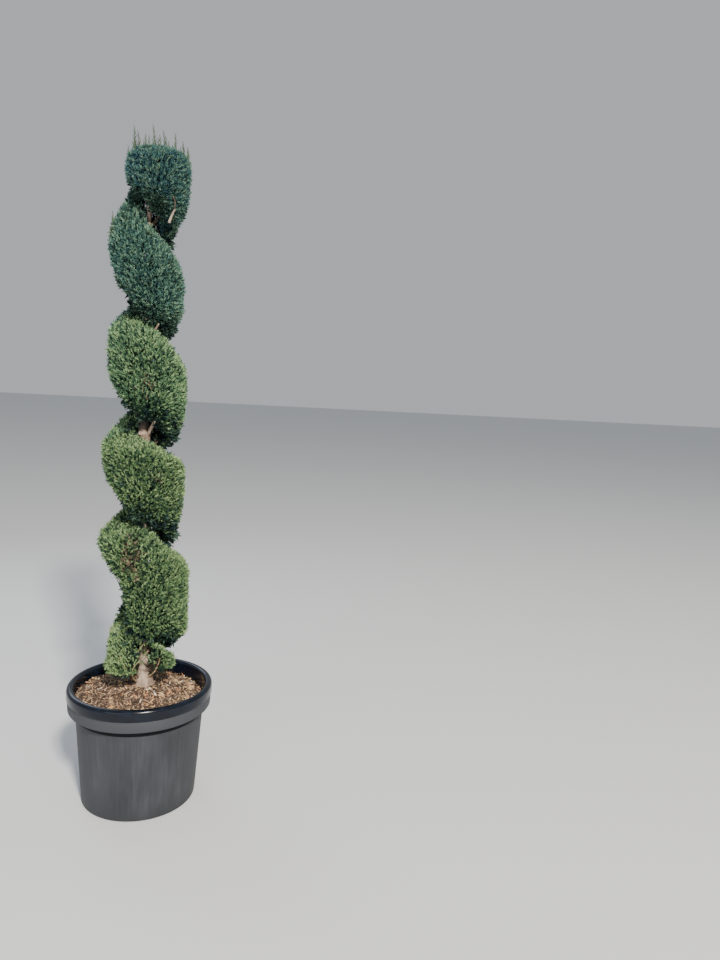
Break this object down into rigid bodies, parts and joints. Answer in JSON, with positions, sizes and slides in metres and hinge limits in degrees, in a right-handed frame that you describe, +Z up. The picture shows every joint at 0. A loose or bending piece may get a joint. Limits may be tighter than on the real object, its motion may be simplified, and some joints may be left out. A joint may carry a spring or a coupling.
{
  "type": "cypress spiral topiary",
  "caption": "Clipped conifer in a round nursery pot, its foliage cut into a falling spiral band round a bare trunk, with thin leaders at the top.",
  "frame": {"origin": "centre of the pot's underside, at ground level", "axes": "+Z up along the trunk, -Y towards the side shown in the picture, +X to the right of that side"},
  "size_m": [0.53, 0.53, 2.45],
  "materials": {
    "pot": "satin",
    "potting_mix": "matte",
    "bark": "matte",
    "foliage": "matte"
  },
  "bodies": {
    "root": {"pot": "pot", "potting_mix": "potting_mix", "trunk": "bark", "bough_01": "bark", "bough_02": "bark", "bough_03": "bark", "bough_04": "bark", "bough_05": "bark", "bough_06": "bark", "bough_07": "bark", "bough_08": "bark", "bough_09": "bark", "bough_10": "bark", "bough_11": "bark", "bough_12": "bark", "bough_13": "bark", "bough_14": "bark", "bough_15": "bark", "bough_16": "bark", "bough_17": "bark", "bough_18": "bark", "bough_19": "bark", "bough_20": "bark", "bough_21": "bark", "bough_22": "bark", "bough_23": "bark", "foliage_top": "foliage", "foliage_turn1_front": "foliage", "foliage_turn1_back": "foliage", "foliage_turn2_front": "foliage", "foliage_turn2_back": "foliage", "foliage_turn3_front": "foliage", "foliage_turn3_back": "foliage", "foliage_turn4_front": "foliage", "foliage_turn4_back": "foliage", "foliage_foot": "foliage"}
  },
  "joints": []
}
